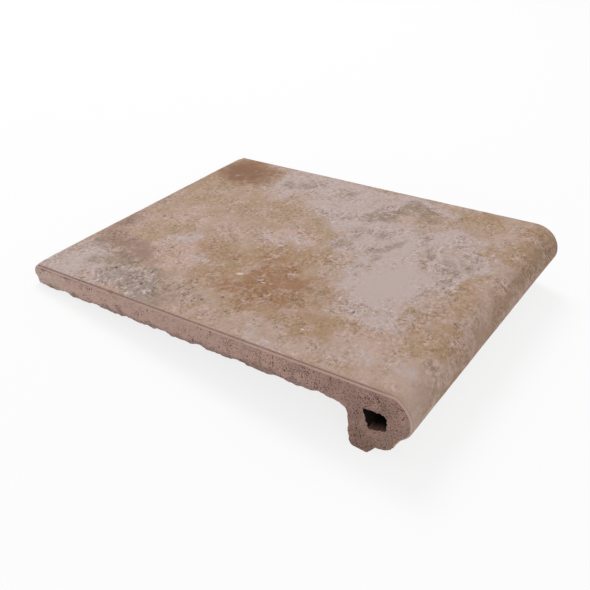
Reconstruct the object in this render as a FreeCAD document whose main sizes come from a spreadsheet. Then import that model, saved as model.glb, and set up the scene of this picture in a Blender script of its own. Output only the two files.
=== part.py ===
import FreeCAD, Part
import math
import os
import Sketcher

# Bullnose stair tread tile, extruded in clay, wire-cut to width and fired in one piece.
# Millimetres. In the tile's own frame X runs along the nosing, Y from the rear edge (0) to the
# front of the nosing, and the walking face is at Z = 0. It is stored as it lies unheld on a
# level floor: on its drip lip and the bottom of its rear edge.

SIZES = [
    ("TileWidth", 250.0, "along the nosing, from cut face to cut face"),
    ("TileDepth", 310.0, "rear edge to the front of the nosing"),
    ("RearThickness", 15.8, "slab at its rear edge, square to the underside"),
    ("UndersideTaper", 0.5, "degrees by which the slab thickens towards the nosing"),
    ("RearTopRadius", 7.0, "upper round of the rear edge"),
    ("RearFlat", 2.5, "upright stretch below that round"),
    ("RearBevel", 29.0, "degrees from upright of the bevel below the upright stretch"),
    ("RearBottomRadius", 2.0, "round between that bevel and the underside"),
    ("NosingRadius", 18.6, "top quarter of the bullnose"),
    ("UnderRadius", 12.0, "tighter round below the front of the bullnose"),
    ("Undercut", 48.0, "degrees from upright of the bullnose's underside"),
    ("CreaseDrop", 12.0, "front of the bullnose down to the crease under it"),
    ("FrontSlope", 32.0, "degrees from upright of the sloping front below the crease"),
    ("FrontDrop", 10.4, "crease to the flat in front of the drip lip"),
    ("DripRadius", 9.5, "round between the sloping front and that flat"),
    ("DripFlat", 8.7, "width of that flat, from the unrounded corner to the foot of the lip"),
    ("LipDrop", 6.5, "that flat to the bottom of the drip lip"),
    ("LipWidth", 17.1, "foot of the lip to the riser face behind it, square to that face"),
    ("LipSlope", 38.5, "degrees from upright of the lip's front"),
    ("LipFrontRadius", 2.5, "front round of the lip"),
    ("LipRearRadius", 5.0, "rear round of the lip"),
    ("RiserLean", 5.5, "degrees by which the riser face leans forward on its way down"),
    ("HookRadius", 7.0, "round between the riser face and the underside"),
    ("CoreRearWall", 12.2, "riser face to the core hole's lower rear corner"),
    ("CoreFrontWall", 15.8, "front of the bullnose to the core hole's front wall"),
    ("CoreRoof", 16.0, "walking face to the roof of the core hole"),
    ("CoreFloor", 11.0, "lowest corner of the core hole to the flat below it"),
    ("CoreRearLean", 18.0, "degrees by which the hole's rear wall leans back on its way up"),
    ("CoreFloorSlope", 13.0, "degrees by which the hole's floor climbs towards the front"),
    ("CoreTopRadius", 3.2, "upper front corner of the core hole"),
    ("CoreLowRadius", 2.2, "lower front corner of the core hole"),
    ("EdgeStep", 1.0, "drop from the walking face to the shoulder along a cut edge"),
    ("ShoulderWidth", 1.4, "step to cut face, across the shoulder"),
    ("ShoulderFall", 1.1, "fall of the shoulder towards the cut face"),
    ("GrooveDepth", 1.2, "keying groove in the underside"),
    ("GrooveRadius", 21.0, "round of a keying groove"),
    ("GrooveStart", 33.5, "rear edge to the middle of the first keying groove"),
    ("GroovePitch", 31.0, "from one keying groove to the next"),
    ("GrooveClear", 1.0, "how far below the underside a groove's outline closes"),
]
# A sketch's own origin and axes, as its rules number them.
FIXED = {"origin": (-1, 1), "level": -1, "upright": -2}
JOINED = 1e-6

doc = FreeCAD.newDocument("BullnoseTreadTile")
sheet = doc.addObject("Spreadsheet::Sheet", "Sizes")
for row, (alias, value, note) in enumerate(SIZES, start=1):
    sheet.set("A%d" % row, alias)
    sheet.set("B%d" % row, str(value))
    sheet.set("C%d" % row, note)
    sheet.setAlias("B%d" % row, alias)
doc.recompute()


def size(alias):
    return float(getattr(sheet, alias))


def bound(alias):
    return "Sizes." + alias


def point(along, up):
    return FreeCAD.Vector(along, up, 0)


def heading(degrees):
    """The direction at this angle in a section, where 0 points to the nosing and 90 points up."""
    angle = math.radians(degrees)
    return point(math.cos(angle), math.sin(angle))


def meet(start, way, other, other_way):
    """Where two straight lines cross, each given as a point and a direction."""
    gap = other - start
    spread = way.x * other_way.y - way.y * other_way.x
    return start + way * ((gap.x * other_way.y - gap.y * other_way.x) / spread)


def origin_plane(body, role):
    return next(item for item in body.Origin.OriginFeatures if item.Role == role)


class Outline:
    """A closed outline in a sketch: lines from corner to corner, with some corners rounded.

    A round takes the name of its corner, and a line the name of the corner it starts from.
    """

    def __init__(self, body, name, role="YZ_Plane"):
        self.sketch = body.newObject("Sketcher::SketchObject", name)
        self.sketch.AttachmentSupport = [(origin_plane(body, role), "")]
        self.sketch.MapMode = "FlatFace"
        self.rounds = {}
        self.lines = {}

    def add(self, corners):
        count = len(corners)
        entries, exits = [], []
        for index, (name, place, radius) in enumerate(corners):
            back = (corners[index - 1][1] - place).normalize()
            ahead = (corners[(index + 1) % count][1] - place).normalize()
            half = back.getAngle(ahead) / 2
            entries.append(place + back * (radius / math.tan(half)))
            exits.append(place + ahead * (radius / math.tan(half)))
            if radius:
                middle = (back + ahead).normalize()
                crown = place + middle * (radius / math.sin(half) - radius)
                arc = Part.Arc(entries[-1], crown, exits[-1])
                self.rounds[name] = self.sketch.addGeometry(arc)
        for index, (name, place, radius) in enumerate(corners):
            end = entries[(index + 1) % count]
            if exits[index].distanceToPoint(end) > JOINED:
                self.lines[name] = self.sketch.addGeometry(Part.LineSegment(exits[index], end))
        for index, (name, place, radius) in enumerate(corners):
            before = corners[index - 1][0]
            into = self.lines.get(before, self.rounds.get(before))
            out = self.lines.get(name, self.rounds.get(corners[(index + 1) % count][0]))
            if not radius:
                self.join("Coincident", into, out, place)
                continue
            self.join("Tangent", into, self.rounds[name], entries[index])
            if name in self.lines:
                self.join("Tangent", self.rounds[name], out, exits[index])

    def join(self, kind, first, second, place):
        self.rule(kind, first, self.end_at(first, place), second, self.end_at(second, place))

    def end_at(self, number, place):
        gaps = [self.sketch.getPoint(number, end).distanceToPoint(place) for end in (1, 2)]
        return 1 + gaps.index(min(gaps))

    def rule(self, *terms):
        return self.sketch.addConstraint(Sketcher.Constraint(*terms))

    def bind(self, name, formula, *terms):
        """A dimension named in the sketch, which follows a formula of the sheet's sizes."""
        number = self.rule(*terms)
        self.sketch.renameConstraint(number, name)
        self.sketch.setExpression("Constraints." + name, formula)

    def bind_radius(self, corner, formula):
        number = self.rounds[corner]
        radius = self.sketch.Geometry[number].Radius
        self.bind(corner + "Radius", formula, "Radius", number, radius)

    def bind_heading(self, corner, formula):
        """The direction of the line that leaves this corner, in degrees as heading takes them."""
        number = self.lines[corner]
        line = self.sketch.Geometry[number]
        way = line.EndPoint - line.StartPoint
        self.bind(corner + "Heading", formula, "Angle", number, math.atan2(way.y, way.x))

    def bind_along(self, name, formula, number, end):
        """How far forward of the rear edge this end lies."""
        place = self.sketch.getPoint(number, end)
        self.bind(name, formula, "DistanceX", *FIXED["origin"], number, end, place.x)

    def bind_down(self, name, formula, number, end):
        """How far below the walking face this end lies."""
        place = self.sketch.getPoint(number, end)
        self.bind(name, formula, "DistanceY", number, end, *FIXED["origin"], -place.y)


def crease_place():
    """The crease under the bullnose, and the formula of its distance from the rear edge."""
    undercut = math.radians(size("Undercut"))
    straight = size("CreaseDrop") - size("UnderRadius") * math.tan(undercut / 2)
    formula = "Sizes.TileDepth - tan(Sizes.Undercut)" \
              " * (Sizes.CreaseDrop - Sizes.UnderRadius * tan(Sizes.Undercut / 2))"
    along = size("TileDepth") - straight * math.tan(undercut)
    return point(along, -size("NosingRadius") - size("CreaseDrop")), formula


def lip_foot_place():
    """Where the drip lip starts, and the formulas of its distances along and down."""
    crease, crease_formula = crease_place()
    back = size("FrontDrop") * math.tan(math.radians(size("FrontSlope"))) + size("DripFlat")
    along = crease_formula + " - Sizes.FrontDrop * tan(Sizes.FrontSlope) - Sizes.DripFlat"
    down = "(Sizes.NosingRadius + Sizes.CreaseDrop + Sizes.FrontDrop)"
    return crease - point(back, size("FrontDrop")), along, down


def tile_section(body):
    depth = size("TileDepth")
    front = point(depth, -size("NosingRadius"))
    under_reach = size("UnderRadius") * math.tan(math.radians(size("Undercut") / 2))
    under = front + point(0, -under_reach)
    crease, crease_formula = crease_place()
    front_way = heading(-90 - size("FrontSlope"))
    lip_foot, foot_formula, flat_formula = lip_foot_place()
    lip_floor = lip_foot + point(0, -size("LipDrop"))
    riser_way = heading(-90 + size("RiserLean"))
    riser = lip_foot + heading(180 + size("RiserLean")) * size("LipWidth")
    underside_way = heading(-size("UndersideTaper"))
    underside = heading(-90 - size("UndersideTaper")) * size("RearThickness")
    rear_edge = point(0, -size("RearTopRadius") - size("RearFlat"))
    bevel_way = heading(-90 + size("RearBevel"))
    level = heading(0)

    outline = Outline(body, "TileSection")
    outline.add([
        ("RearTop", point(0, 0), size("RearTopRadius")),
        ("NosingTop", point(depth, 0), size("NosingRadius")),
        ("Under", under, size("UnderRadius")),
        ("Crease", crease, 0.0),
        ("Drip", meet(crease, front_way, lip_foot, level), size("DripRadius")),
        ("LipFoot", lip_foot, 0.0),
        ("LipFront", meet(lip_foot, heading(-90 - size("LipSlope")), lip_floor, level),
         size("LipFrontRadius")),
        ("LipRear", meet(lip_floor, level, riser, riser_way), size("LipRearRadius")),
        ("Hook", meet(riser, riser_way, underside, underside_way), size("HookRadius")),
        ("RearBottom", meet(underside, underside_way, rear_edge, bevel_way),
         size("RearBottomRadius")),
        ("RearEdge", rear_edge, 0.0),
    ])
    lines, rounds = outline.lines, outline.rounds
    for corner in ("RearTop", "Drip", "LipFront"):
        outline.rule("Horizontal", lines[corner])
    outline.rule("Vertical", lines["RearEdge"])
    outline.rule("PointOnObject", lines["RearEdge"], 1, FIXED["upright"])
    outline.rule("PointOnObject", lines["RearTop"], 1, FIXED["level"])

    outline.bind_radius("NosingTop", bound("NosingRadius"))
    for corner in ("RearTop", "Under", "Drip", "LipFront", "LipRear", "Hook", "RearBottom"):
        outline.bind_radius(corner, bound(corner + "Radius"))

    outline.bind_heading("Under", "-90 - Sizes.Undercut")
    outline.bind_heading("Crease", "-90 - Sizes.FrontSlope")
    outline.bind_heading("LipFoot", "-90 - Sizes.LipSlope")
    outline.bind_heading("LipRear", "90 + Sizes.RiserLean")
    outline.bind_heading("Hook", "180 - Sizes.UndersideTaper")
    outline.bind_heading("RearBottom", "90 + Sizes.RearBevel")

    front_end = outline.end_at(rounds["NosingTop"], front)
    outline.bind_along("Depth", bound("TileDepth"), rounds["NosingTop"], front_end)
    outline.rule("Horizontal", rounds["NosingTop"], 3, rounds["NosingTop"], front_end)
    outline.bind_along("CreasePlace", crease_formula, lines["Crease"], 1)
    outline.bind_down("FlatPlace", flat_formula, lines["LipFoot"], 1)
    outline.bind_along("FootPlace", foot_formula, lines["LipFoot"], 1)
    outline.bind_down("LipPlace", flat_formula + " + Sizes.LipDrop", lines["LipFront"], 2)
    outline.bind("RiserPlace", bound("LipWidth"), "Distance",
                 lines["LipFoot"], 1, lines["LipRear"], size("LipWidth"))
    outline.bind("Thickness", bound("RearThickness"), "Distance",
                 *FIXED["origin"], lines["Hook"], size("RearThickness"))
    outline.bind("RearUpright", bound("RearFlat"), "DistanceY",
                 lines["RearEdge"], 1, lines["RearEdge"], 2, size("RearFlat"))
    return outline


def core_section(body):
    """The hole that runs through the nosing and keeps its walls of an even thickness."""
    lip_foot, foot_formula, flat_formula = lip_foot_place()
    heel = lip_foot + point(size("CoreRearWall") - size("LipWidth"), size("CoreFloor"))
    roof = point(0, -size("CoreRoof"))
    wall = point(size("TileDepth") - size("CoreFrontWall"), 0)
    rear_way = heading(90 + size("CoreRearLean"))
    floor_way = heading(size("CoreFloorSlope"))
    level, upright = heading(0), heading(90)

    outline = Outline(body, "CoreSection")
    outline.add([
        ("Heel", heel, 0.0),
        ("CoreLow", meet(heel, floor_way, wall, upright), size("CoreLowRadius")),
        ("CoreTop", meet(wall, upright, roof, level), size("CoreTopRadius")),
        ("RoofRear", meet(roof, level, heel, rear_way), 0.0),
    ])
    lines = outline.lines
    outline.rule("Vertical", lines["CoreLow"])
    outline.rule("Horizontal", lines["CoreTop"])
    outline.bind_radius("CoreLow", bound("CoreLowRadius"))
    outline.bind_radius("CoreTop", bound("CoreTopRadius"))
    outline.bind_heading("Heel", bound("CoreFloorSlope"))
    outline.bind_heading("RoofRear", "-90 + Sizes.CoreRearLean")
    outline.bind_down("Roof", bound("CoreRoof"), lines["CoreTop"], 1)
    outline.bind_down("HeelDown", flat_formula + " - Sizes.CoreFloor", lines["Heel"], 1)
    outline.bind_along("HeelPlace", foot_formula + " - Sizes.LipWidth + Sizes.CoreRearWall",
                       lines["Heel"], 1)
    outline.bind_along("FrontWall", "Sizes.TileDepth - Sizes.CoreFrontWall",
                       lines["CoreLow"], 1)
    return outline


def edge_section(body):
    """What is pressed away along a cut edge: a step, then a shoulder that falls to the cut."""
    step = size("TileWidth") / 2 - size("ShoulderWidth")
    fall = size("ShoulderFall") / size("ShoulderWidth")
    brow = -size("EdgeStep")
    past = 2 * size("ShoulderWidth")
    outline = Outline(body, "EdgeSection", "XZ_Plane")
    outline.add([
        ("StepTop", point(step, size("EdgeStep")), 0.0),
        ("StepFoot", point(step, brow), 0.0),
        ("Outer", point(step + past, brow - past * fall), 0.0),
        ("OuterTop", point(step + past, size("EdgeStep")), 0.0),
    ])
    lines = outline.lines
    outline.rule("Vertical", lines["StepTop"])
    outline.rule("Vertical", lines["Outer"])
    outline.rule("Horizontal", lines["OuterTop"])
    outline.bind_along("StepPlace", "Sizes.TileWidth / 2 - Sizes.ShoulderWidth",
                       lines["StepFoot"], 1)
    outline.bind_down("Brow", bound("EdgeStep"), lines["StepFoot"], 1)
    outline.bind("Above", "2 * Sizes.EdgeStep", "DistanceY",
                 lines["StepTop"], 2, lines["StepTop"], 1, 2 * size("EdgeStep"))
    outline.bind("Past", "2 * Sizes.ShoulderWidth", "DistanceX",
                 lines["StepFoot"], 1, lines["StepFoot"], 2, past)
    outline.bind_heading("StepFoot", "-atan2(Sizes.ShoulderFall; Sizes.ShoulderWidth)")
    return outline


def groove_section(body):
    """The first keying groove: an arc that dips into the underside, closed below it."""
    sketch_outline = Outline(body, "GrooveSection")
    sketch = sketch_outline.sketch
    start = size("GrooveStart")
    taper = math.radians(size("UndersideTaper"))
    underside = -size("RearThickness") / math.cos(taper) - start * math.tan(taper)
    middle = point(start, underside - size("GrooveRadius") + size("GrooveDepth"))
    closing = underside - size("GrooveClear")
    half = math.sqrt(size("GrooveRadius") ** 2 - (closing - middle.y) ** 2)
    crown = middle + point(0, size("GrooveRadius"))
    arc = Part.Arc(point(start - half, closing), crown, point(start + half, closing))
    groove = sketch.addGeometry(arc)
    chord = sketch.addGeometry(Part.LineSegment(point(start + half, closing),
                                                point(start - half, closing)))
    run = sketch.addGeometry(Part.LineSegment(middle, middle + heading(-size("UndersideTaper"))),
                             True)
    sketch_outline.join("Coincident", groove, chord, point(start + half, closing))
    sketch_outline.join("Coincident", groove, chord, point(start - half, closing))
    sketch_outline.rule("Horizontal", chord)
    sketch_outline.rule("Coincident", run, 1, groove, 3)
    level = "Sizes.RearThickness / cos(Sizes.UndersideTaper)" \
            " + Sizes.GrooveStart * tan(Sizes.UndersideTaper)"
    sketch_outline.bind("Round", bound("GrooveRadius"), "Radius", groove, size("GrooveRadius"))
    sketch_outline.bind_along("Start", bound("GrooveStart"), groove, 3)
    sketch_outline.bind_down("Sunk", level + " + Sizes.GrooveRadius - Sizes.GrooveDepth", groove, 3)
    sketch_outline.bind_down("Closing", level + " + Sizes.GrooveClear", chord, 1)
    sketch_outline.bind("Run", "-1 * Sizes.UndersideTaper", "Angle", run, -taper)
    sketch_outline.bind("RunLength", "Sizes.GroovePitch", "Distance", run, size("GroovePitch"))
    return sketch_outline


def volume_after(feature, before, grows):
    """Recomputes, and stops where a feature did not change the solid the way it should."""
    doc.recompute()
    now = feature.Shape.Volume
    if (now > before) != grows or now == before:
        raise ValueError("%s took the volume from %.1f to %.1f" % (feature.Label, before, now))
    return now


def through_cut(body, name, outline):
    feature = body.newObject("PartDesign::Pocket", name)
    feature.Profile = outline.sketch
    feature.Midplane = True
    feature.Type = "ThroughAll"
    return feature


def build_tile():
    body = doc.addObject("PartDesign::Body", "Tile")
    body.Label = "bullnose_tread_tile"
    doc.recompute()

    outline = tile_section(body)
    column = body.newObject("PartDesign::Pad", "Column")
    column.Profile = outline.sketch
    column.Midplane = True
    column.setExpression("Length", bound("TileWidth"))
    volume = volume_after(column, 0.0, True)

    edge = through_cut(body, "PressedEdge", edge_section(body))
    volume = volume_after(edge, volume, False)
    edges = body.newObject("PartDesign::Mirrored", "PressedEdges")
    edges.Originals = [edge]
    edges.MirrorPlane = (origin_plane(body, "YZ_Plane"), [""])
    body.Tip = edges
    volume = volume_after(edges, volume, False)

    hole = through_cut(body, "CoreHole", core_section(body))
    volume = volume_after(hole, volume, False)

    groove_outline = groove_section(body)
    groove = through_cut(body, "KeyingGroove", groove_outline)
    volume = volume_after(groove, volume, False)
    grooves = body.newObject("PartDesign::LinearPattern", "KeyingGrooves")
    grooves.Originals = [groove]
    grooves.Direction = (groove_outline.sketch, ["Axis0"])
    room = "(%s - Sizes.LipWidth - 2 * Sizes.HookRadius - Sizes.GrooveStart)" % lip_foot_place()[1]
    steps = "floor(%s / Sizes.GroovePitch)" % room
    grooves.setExpression("Occurrences", steps + " + 1")
    grooves.setExpression("Length", "%s * Sizes.GroovePitch" % steps)
    body.Tip = grooves
    volume_after(grooves, volume, False)
    return body, outline


def lay_down(body, outline):
    """Turns and shifts the tile so that it rests on its lip and its rear edge, mid-way at 0."""
    geometry = outline.sketch.Geometry
    lip = geometry[outline.rounds["LipRear"]]
    heel = geometry[outline.rounds["RearBottom"]]
    span = lip.Center - heel.Center
    tilt = math.asin((lip.Radius - heel.Radius) / span.Length) - math.atan2(span.y, span.x)
    turn = FreeCAD.Rotation(FreeCAD.Vector(1, 0, 0), math.degrees(tilt))
    body.Placement = FreeCAD.Placement(FreeCAD.Vector(), turn)
    doc.recompute()
    box = body.Shape.optimalBoundingBox(False, False)
    shift = FreeCAD.Vector(-box.Center.x, -box.Center.y, -box.ZMin)
    body.Placement = FreeCAD.Placement(shift, turn)
    doc.recompute()


def check(body):
    for item in doc.Objects:
        if "Invalid" in item.State or "Error" in item.State:
            raise ValueError("%s is %s" % (item.Label, item.State))
    if body.Shape.isNull() or not body.Shape.isValid() or len(body.Shape.Solids) != 1:
        raise ValueError("%s is not one sound solid" % body.Label)


tile, section = build_tile()
lay_down(tile, section)
check(tile)
os.makedirs("parts", exist_ok=True)
tile.Shape.exportStep("parts/%s.step" % tile.Label)
print("%s: %.0f mm3, laid down at %.2f degrees"
      % (tile.Label, tile.Shape.Volume, math.degrees(tile.Placement.Rotation.Angle)))
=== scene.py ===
import math
import random
from collections import namedtuple

import bpy
import numpy as np
from mathutils import Matrix, Vector, geometry, noise


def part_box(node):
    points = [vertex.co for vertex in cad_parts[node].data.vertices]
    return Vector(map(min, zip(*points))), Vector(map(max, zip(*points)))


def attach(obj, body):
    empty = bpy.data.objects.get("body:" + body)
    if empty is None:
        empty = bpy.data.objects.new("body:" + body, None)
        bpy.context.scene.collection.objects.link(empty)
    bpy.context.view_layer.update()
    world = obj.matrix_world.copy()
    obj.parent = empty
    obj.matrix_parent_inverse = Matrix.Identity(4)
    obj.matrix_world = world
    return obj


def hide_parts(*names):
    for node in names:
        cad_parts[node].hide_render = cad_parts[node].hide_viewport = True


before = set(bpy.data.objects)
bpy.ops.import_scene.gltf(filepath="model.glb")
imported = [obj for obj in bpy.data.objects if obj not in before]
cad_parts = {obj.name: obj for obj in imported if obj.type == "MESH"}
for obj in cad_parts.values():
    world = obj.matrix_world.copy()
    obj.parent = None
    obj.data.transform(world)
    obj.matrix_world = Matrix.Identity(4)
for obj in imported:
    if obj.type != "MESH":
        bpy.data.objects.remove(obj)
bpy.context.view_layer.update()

# A fired-clay bullnose stair tread. Sizes below are millimetres in the tile's own frame: x along
# the nosing, y from the rear edge to the front of the nosing, z = 0 at the walking face.
# The frame's node says how the tile lies on the floor.
NODE = "bullnose_tread_tile"
MM = 0.001
WIDTH, DEPTH = 250.0, 310.0
REAR_THICKNESS, TAPER = 15.8, math.radians(0.5)
REAR_RADIUS, REAR_FLAT, REAR_BEVEL, REAR_LOW_RADIUS = 7.0, 2.5, 29.0, 2.0
NOSING_RADIUS, UNDER_RADIUS, UNDERCUT, CREASE_DROP = 18.6, 12.0, 48.0, 12.0
FRONT_SLOPE, FRONT_DROP, DRIP_RADIUS, DRIP_FLAT = 32.0, 10.4, 9.5, 8.7
LIP_DROP, LIP_WIDTH, LIP_SLOPE = 6.5, 17.1, 38.5
LIP_FRONT_RADIUS, LIP_REAR_RADIUS, RISER_LEAN, HOOK_RADIUS = 2.5, 5.0, 5.5, 7.0
CORE_REAR_WALL, CORE_FRONT_WALL, CORE_ROOF, CORE_FLOOR = 12.2, 15.8, 16.0, 11.0
CORE_REAR_LEAN, CORE_FLOOR_SLOPE, CORE_TOP_RADIUS, CORE_LOW_RADIUS = 18.0, 13.0, 3.2, 2.2
CORE_HEEL_RADIUS, CORE_ROOF_RADIUS = 0.4, 0.5
EDGE_STEP, SHOULDER_WIDTH, SHOULDER_FALL = 1.0, 1.4, 1.1
GROOVE_DEPTH, GROOVE_RADIUS, GROOVE_START, GROOVE_PITCH, GROOVE_COUNT = 1.2, 21.0, 33.5, 31.0, 8

# How the visible mesh is divided, in mm. The shoulder's stations are shares of its width.
FACE_SPACING, UNDERSIDE_SPACING, CUT_SPACING = 2.0, 1.4, 0.85
SHOULDER_STATIONS = (0.0, 0.25, 0.6)
CORE_STATIONS, CORE_FIRST_STATION, CORE_END_STATIONS = 48, 5.0, (0.0, 0.7, 1.6, 3.0)
# A shorter run of the outline gets no points, and edges past the angle stay sharp.
SHORTEST_RUN = 0.01
SHARP_ANGLE = math.radians(42)

# Wear of the rims and corners in mm: how much, and how fast it fades inwards from the cut faces.
# Less than the share FADED of a ragged rim isn't drawn.
STEP_BATTER, RIM_INSET = 0.1, 1.0
CORNER_WEAR, CORNER_WEAR_REACH = 1.6, 3.0
CORNER_LIFT, CORNER_LIFT_REACH, CORNER_LIFT_LENGTH = 1.9, 9.0, 34.0
BURR, RAG_REACH, TORN_REACH, FADED = 0.35, 1.6, 1.3, 0.02
# How far the cut faces lie back from the rims, and how far their relief may stand out.
CUT_SETBACK, CUT_MOST_PROUD = 0.1, 0.3

# Uneven relief in layers, each its height in mm, the size of its features in mm and its seed.
FACE_RELIEF = ((0.22, 62, 1), (0.11, 15, 2), (0.07, 5.5, 3))
RAW_RELIEF = ((0.2, 40, 4), (0.12, 7, 5), (0.07, 3, 6))
FACE_RAG = ((0.12, 3, 8),)
RAW_RAG = ((0.75, 5.5, 9), (0.7, 2.2, 10), (0.4, 17, 11))
CUT_RELIEF = ((0.16, 3.4, 20), (0.12, 1.6, 21), (0.25, 26, 22))
CORE_RAG = ((0.6, 2.6, 30), (0.75, 1.2, 31))
# The relief of the hole's wall is drawn out along x by this scale.
CORE_RELIEF = ((0.16, 2.4, 32),)
CORE_STRETCH = 0.15

# Pores of the cut faces, in mm: the least radius and what a few have beyond it, and the depth
# over the radius.
PORE_SEED, PORE_TRIES = 7, 7000
PORE_RADIUS, PORE_LARGER, PORE_RARITY, PORE_DEPTHS = 0.22, 0.6, 4, (0.9, 1.9)
# The share of the tries that is kept, more of them from there to the nosing, and in patches.
PORE_SHARE, PORE_MORE, PORE_MORE_FROM, PORE_RISE = 0.24, 0.76, 150, 1.2
PATCH_SHARE, PATCH_SWING, PATCH_SIZE, PATCH_SEED = 0.85, 0.5, 9, 15
PORE_GAP, PORE_RIM_GAP, PORE_END_GAP, PORE_HIGHEST = 0.4, 0.5, 1, -2.6
# The rings of points round a pore, each its share of the radius and of the depth.
PORE_RINGS = ((0.6, 0.85), (1.05, 0.0))
PORE_STRETCH, PORE_UNEVEN = (0.7, 1.0), (0.88, 1.12)
SMALL_PORE, SMALL_PORE_POINTS, LARGE_PORE_POINTS = 0.45, 6, 9
# The points between the pores, as shares of their spacing, and how far they stay off a pore.
SHEET_JITTER, SHEET_ROW, SHEET_RIM_GAP = 0.28, 0.87, 0.5
OFF_PORE_SHARE, OFF_PORE = 1.1, 0.3

# The parts of the outline, by the corners they belong to.
FACE_NAMES = ("rear_top", "rear_top_line", "nosing_top", "under", "under_line", "crease_line",
              "rear_edge_line")
REAR_NAMES = ("rear_top", "rear_edge_line", "rear_bottom", "rear_bottom_line")
LIFTED_NAMES = ("rear_bottom", "rear_bottom_line", "hook_line")


def heading(degrees):
    """The direction at this angle from level in the plane of the section."""
    return np.array([math.cos(math.radians(degrees)), math.sin(math.radians(degrees))])


def meet(start, way, other, other_way):
    """Where two straight lines cross, each given as a point and a direction."""
    gap = other - start
    spread = way[0] * other_way[1] - way[1] * other_way[0]
    return start + way * ((gap[0] * other_way[1] - gap[1] * other_way[0]) / spread)


def rounded(corners):
    """Points round a closed outline; a corner is (name, place, radius, spacing along and after it).

    Returns the points, and for each the name of the corner that it belongs to.
    """
    entries, exits, arcs = [], [], []
    count = len(corners)
    for index, (_, place, radius, spacing) in enumerate(corners):
        back = corners[index - 1][1] - place
        ahead = corners[(index + 1) % count][1] - place
        back, ahead = back / np.linalg.norm(back), ahead / np.linalg.norm(ahead)
        half = math.acos(np.clip(back @ ahead, -1, 1)) / 2
        entries.append(place + back * radius / math.tan(half))
        exits.append(place + ahead * radius / math.tan(half))
        arc = []
        if radius:
            middle = (back + ahead) / np.linalg.norm(back + ahead)
            centre = place + middle * radius / math.sin(half)
            first, last = entries[-1] - centre, exits[-1] - centre
            start = math.atan2(first[1], first[0])
            sweep = (math.atan2(last[1], last[0]) - start + math.pi) % (2 * math.pi) - math.pi
            steps = max(2, round(abs(sweep) * radius / spacing))
            for step in range(1, steps):
                angle = start + sweep * step / steps
                arc.append(centre + radius * np.array([math.cos(angle), math.sin(angle)]))
        arcs.append(arc)
    points, names = [], []
    for index, (name, _, radius, spacing) in enumerate(corners):
        if radius:
            points += [entries[index]] + arcs[index]
            names += [name] * (1 + len(arcs[index]))
        run = entries[(index + 1) % count] - exits[index]
        length = np.linalg.norm(run)
        if length < SHORTEST_RUN:
            continue
        steps = max(1, round(length / spacing))
        points += [exits[index] + run * step / steps for step in range(steps)]
        names += [name + "_line"] * steps
    return np.array(points), names


def front_places():
    """The unrounded corner under the bullnose, the crease and the foot of the drip lip."""
    undercut = math.radians(UNDERCUT)
    corner_drop = UNDER_RADIUS * math.tan(undercut / 2)
    under = np.array([DEPTH, -NOSING_RADIUS - corner_drop])
    back = (CREASE_DROP - corner_drop) * math.tan(undercut)
    crease = np.array([DEPTH - back, -NOSING_RADIUS - CREASE_DROP])
    slope_back = FRONT_DROP * math.tan(math.radians(FRONT_SLOPE))
    return under, crease, crease - np.array([slope_back + DRIP_FLAT, FRONT_DROP])


def tile_outline():
    """The tile's section, clockwise from the rear end of the walking face."""
    under, crease, foot = front_places()
    lip_floor = foot + np.array([0, -LIP_DROP])
    riser_way, level = heading(-90 + RISER_LEAN), heading(0)
    riser = foot + heading(180 + RISER_LEAN) * LIP_WIDTH
    underside_way = heading(-math.degrees(TAPER))
    underside = heading(-90 - math.degrees(TAPER)) * REAR_THICKNESS
    rear_edge = np.array([0, -REAR_RADIUS - REAR_FLAT])
    return rounded([
        ("rear_top", np.array([0.0, 0.0]), REAR_RADIUS, 1.1),
        ("nosing_top", np.array([DEPTH, 0.0]), NOSING_RADIUS, 1.2),
        ("under", under, UNDER_RADIUS, 1.2),
        ("crease", crease, 0.0, 1.2),
        ("drip", meet(crease, heading(-90 - FRONT_SLOPE), foot, level), DRIP_RADIUS, 1.2),
        ("lip_foot", foot, 0.0, 1.3),
        ("lip_front", meet(foot, heading(-90 - LIP_SLOPE), lip_floor, level), LIP_FRONT_RADIUS, 1.2),
        ("lip_rear", meet(lip_floor, level, riser, riser_way), LIP_REAR_RADIUS, 1.3),
        ("hook", meet(riser, riser_way, underside, underside_way), HOOK_RADIUS, 1.5),
        ("rear_bottom", meet(underside, underside_way, rear_edge, heading(-90 + REAR_BEVEL)),
         REAR_LOW_RADIUS, 1.0),
        ("rear_edge", rear_edge, 0.0, 1.0),
    ])


def spread_lines(points, names, spacings):
    """Divides the long lines named in spacings afresh; the rest keeps its points."""
    out, out_names = [], []
    count = len(points)
    index = 0
    while index < count:
        name = names[index]
        if name not in spacings:
            out.append(points[index])
            out_names.append(name)
            index += 1
            continue
        last = index
        while last < count and names[last] == name:
            last += 1
        start, end = points[index], points[last % count]
        steps = round(np.linalg.norm(end - start) / spacings[name])
        out += [start + (end - start) * step / steps for step in range(steps)]
        out_names += [name] * steps
        index = last
    return np.array(out), out_names


def core_heel():
    """The low rear corner of the hole."""
    return front_places()[2] + np.array([CORE_REAR_WALL - LIP_WIDTH, CORE_FLOOR])


def core_outline():
    """The section of the hole through the nosing."""
    heel = core_heel()
    roof, wall = np.array([0.0, -CORE_ROOF]), np.array([DEPTH - CORE_FRONT_WALL, 0.0])
    return rounded([
        ("heel", heel, CORE_HEEL_RADIUS, 0.8),
        ("low", meet(heel, heading(CORE_FLOOR_SLOPE), wall, heading(90)), CORE_LOW_RADIUS, 0.7),
        ("top", meet(wall, heading(90), roof, heading(0)), CORE_TOP_RADIUS, 0.8),
        ("roof_rear", meet(roof, heading(0), heel, heading(90 + CORE_REAR_LEAN)),
         CORE_ROOF_RADIUS, 0.8),
    ])


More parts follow.
